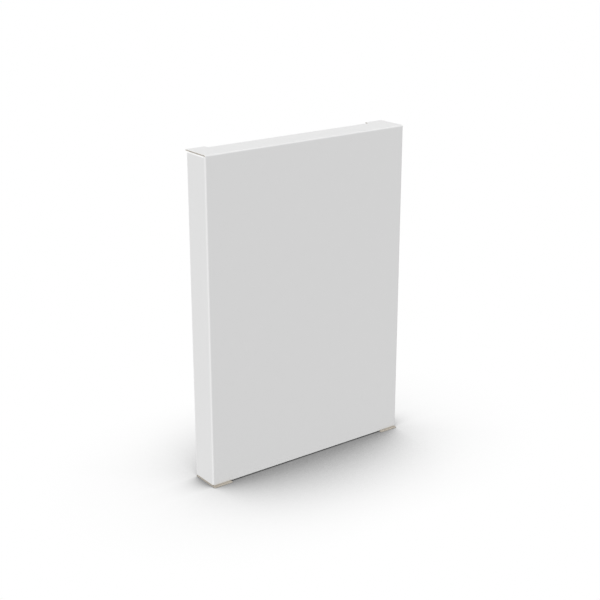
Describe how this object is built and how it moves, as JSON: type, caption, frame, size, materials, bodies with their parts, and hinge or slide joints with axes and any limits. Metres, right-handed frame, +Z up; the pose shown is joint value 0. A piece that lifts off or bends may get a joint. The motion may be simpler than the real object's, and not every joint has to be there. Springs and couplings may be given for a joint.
{
  "type": "folding carton for a board game",
  "caption": "Tall, shallow folding carton of white coated board, with slit-lock tuck closures, dust flaps and a glued side seam.",
  "frame": {"origin": "on the ground, under the middle of the closed carton", "axes": "+Z up along the carton's height, +Y from the front wall to the rear wall, +X to the right seen from the front"},
  "size_m": [0.142, 0.0218, 0.2],
  "materials": {
    "coated_board": "smooth white coated chipboard, grey-brown on the back and on cut edges",
    "creased_board": "the same board, bent at its crease",
    "glue": "dried white glue"
  },
  "bodies": {
    "sleeve": {"front_panel": "coated_board", "rear_panel": "coated_board", "left_panel": "coated_board", "right_panel": "coated_board", "front_left_crease": "creased_board", "front_right_crease": "creased_board", "rear_left_crease": "creased_board", "glue_flap_crease": "creased_board", "glue_flap": "coated_board", "glue_line": "glue"},
    "top_closure": {"top_closure": "coated_board", "top_closure_crease": "creased_board"},
    "top_tuck": {"top_tuck_flap": "coated_board", "top_tuck_crease": "creased_board"},
    "top_dust_left": {"top_dust_flap_left": "coated_board", "top_dust_crease_left": "creased_board"},
    "top_dust_right": {"top_dust_flap_right": "coated_board", "top_dust_crease_right": "creased_board"},
    "bottom_closure": {"bottom_closure": "coated_board", "bottom_closure_crease": "creased_board"},
    "bottom_tuck": {"bottom_tuck_flap": "coated_board", "bottom_tuck_crease": "creased_board"},
    "bottom_dust_left": {"bottom_dust_flap_left": "coated_board", "bottom_dust_crease_left": "creased_board"},
    "bottom_dust_right": {"bottom_dust_flap_right": "coated_board", "bottom_dust_crease_right": "creased_board"}
  },
  "joints": [
    {"name": "top_closure_hinge", "type": "hinge", "parent": "sleeve", "child": "top_closure", "pos_m": [0, -0.0091, 0.1997], "axis": [1, 0, 0], "range_deg": [0, 180], "deforming": ["top_closure_crease"]},
    {"name": "top_tuck_hinge", "type": "hinge", "parent": "top_closure", "child": "top_tuck", "pos_m": [0, 0.0084, 0.1997], "axis": [1, 0, 0], "range_deg": [-18, 22], "deforming": ["top_tuck_crease"]},
    {"name": "top_dust_left_hinge", "type": "hinge", "parent": "sleeve", "child": "top_dust_left", "pos_m": [-0.0707, 0, 0.19905], "axis": [0, -1, 0], "range_deg": [0, 72], "deforming": ["top_dust_crease_left"]},
    {"name": "top_dust_right_hinge", "type": "hinge", "parent": "sleeve", "child": "top_dust_right", "pos_m": [0.0707, 0, 0.19905], "axis": [0, 1, 0], "range_deg": [0, 72], "deforming": ["top_dust_crease_right"]},
    {"name": "bottom_closure_hinge", "type": "hinge", "parent": "sleeve", "child": "bottom_closure", "pos_m": [0, 0.0091, 0.0003], "axis": [1, 0, 0], "range_deg": [0, 180], "deforming": ["bottom_closure_crease"]},
    {"name": "bottom_tuck_hinge", "type": "hinge", "parent": "bottom_closure", "child": "bottom_tuck", "pos_m": [0, -0.0084, 0.0003], "axis": [1, 0, 0], "range_deg": [-18, 22], "deforming": ["bottom_tuck_crease"]},
    {"name": "bottom_dust_left_hinge", "type": "hinge", "parent": "sleeve", "child": "bottom_dust_left", "pos_m": [-0.0707, 0, 0.00095], "axis": [0, 1, 0], "range_deg": [0, 72], "deforming": ["bottom_dust_crease_left"]},
    {"name": "bottom_dust_right_hinge", "type": "hinge", "parent": "sleeve", "child": "bottom_dust_right", "pos_m": [0.0707, 0, 0.00095], "axis": [0, -1, 0], "range_deg": [0, 72], "deforming": ["bottom_dust_crease_right"]}
  ],
  "couplings": [
    {"joint": "top_dust_left_hinge", "follows": "top_closure_hinge", "ratio": 0.4},
    {"joint": "top_dust_right_hinge", "follows": "top_closure_hinge", "ratio": 0.4},
    {"joint": "bottom_dust_left_hinge", "follows": "bottom_closure_hinge", "ratio": 0.4},
    {"joint": "bottom_dust_right_hinge", "follows": "bottom_closure_hinge", "ratio": 0.4}
  ]
}
